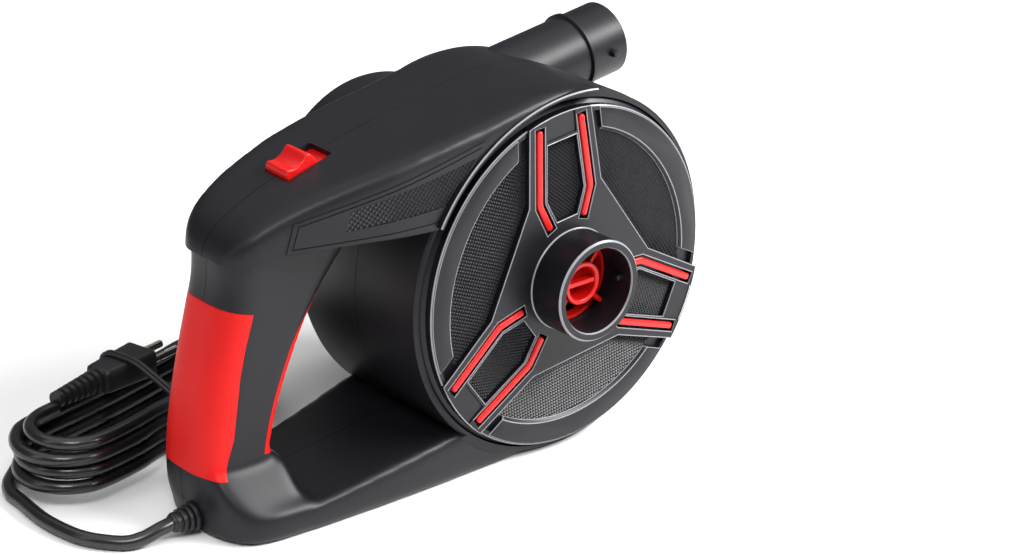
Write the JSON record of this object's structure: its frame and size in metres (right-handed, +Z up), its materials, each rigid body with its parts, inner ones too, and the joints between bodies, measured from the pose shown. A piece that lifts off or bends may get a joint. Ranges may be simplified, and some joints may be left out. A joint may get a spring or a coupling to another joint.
{
  "type": "electric air mattress pump",
  "caption": "Mains-powered air pump with a drum-shaped blower, closed handle, intake port, outlet tube and folded power cord.",
  "frame": {"origin": "centre of the pump's bounding box in plan, without its cord, on the surface it stands on", "axes": "+X along the pump from the handle to the outlet, -Y the side of the intake port, +Z up"},
  "size_m": [0.3469, 0.1929, 0.2024],
  "materials": {
    "black_abs": "fine satin texture",
    "cover_abs": "satin, with relief patterns",
    "red_abs": "satin gloss",
    "red_rubber": "soft, lightly textured",
    "inner_plastic": "plain",
    "black_pvc": "smooth, slightly glossy",
    "steel": "zinc plated",
    "laminated_steel": "stacked laminations",
    "copper": "enamelled copper",
    "carbon": "carbon",
    "plated_brass": "nickel plated"
  },
  "bodies": {
    "pump": {"housing_near": "black_abs", "housing_far": "black_abs", "motor_cover": "black_abs", "outlet_tube": "black_abs", "side_cover": "cover_abs", "port_guard": "red_abs", "accent_strip_1": "red_abs", "accent_strip_2": "red_abs", "accent_strip_3": "red_abs", "accent_strip_4": "red_abs", "accent_strip_5": "red_abs", "accent_strip_6": "red_abs", "rear_grip": "red_rubber", "finger_grip": "red_rubber", "inlet_plate": "inner_plastic", "motor_plate": "inner_plastic", "rear_bracket": "inner_plastic", "brush_holder_1": "inner_plastic", "brush_holder_2": "inner_plastic", "switch_body": "inner_plastic", "cord_clamp": "inner_plastic", "inner_lead": "black_pvc", "motor_wires": "black_pvc", "strain_relief": "black_pvc", "cord_lead": "black_pvc", "cord_hank": "black_pvc", "cord_tail": "black_pvc", "plug": "black_pvc", "cord_tie": "black_pvc", "housing_screw_1": "steel", "housing_screw_2": "steel", "housing_screw_3": "steel", "housing_screw_4": "steel", "housing_screw_5": "steel", "cover_screw_1": "steel", "cover_screw_2": "steel", "cover_screw_3": "steel", "cover_screw_4": "steel", "plate_screw_1": "steel", "plate_screw_2": "steel", "plate_screw_3": "steel", "clamp_screw": "steel", "front_bracket": "steel", "bearing_front": "steel", "bearing_rear": "steel", "field_core": "laminated_steel", "field_coil_1": "copper", "field_coil_2": "copper", "brush_1": "carbon", "brush_2": "carbon", "plug_pin_1": "plated_brass", "plug_pin_2": "plated_brass"},
    "rotor": {"motor_shaft": "steel", "armature_core": "laminated_steel", "winding_front": "copper", "winding_rear": "copper", "commutator": "copper", "impeller": "red_abs", "impeller_nut": "steel"},
    "switch": {"switch_slider": "red_abs"}
  },
  "joints": [
    {"name": "rotor_spin", "type": "hinge", "parent": "pump", "child": "rotor", "pos_m": [0.05155, 0, 0.0935], "axis": [0, 1, 0], "continuous": true},
    {"name": "switch_slide", "type": "slide", "parent": "pump", "child": "switch", "axis": [0.9514, 0, 0.308], "range_m": [0, 0.008]}
  ]
}
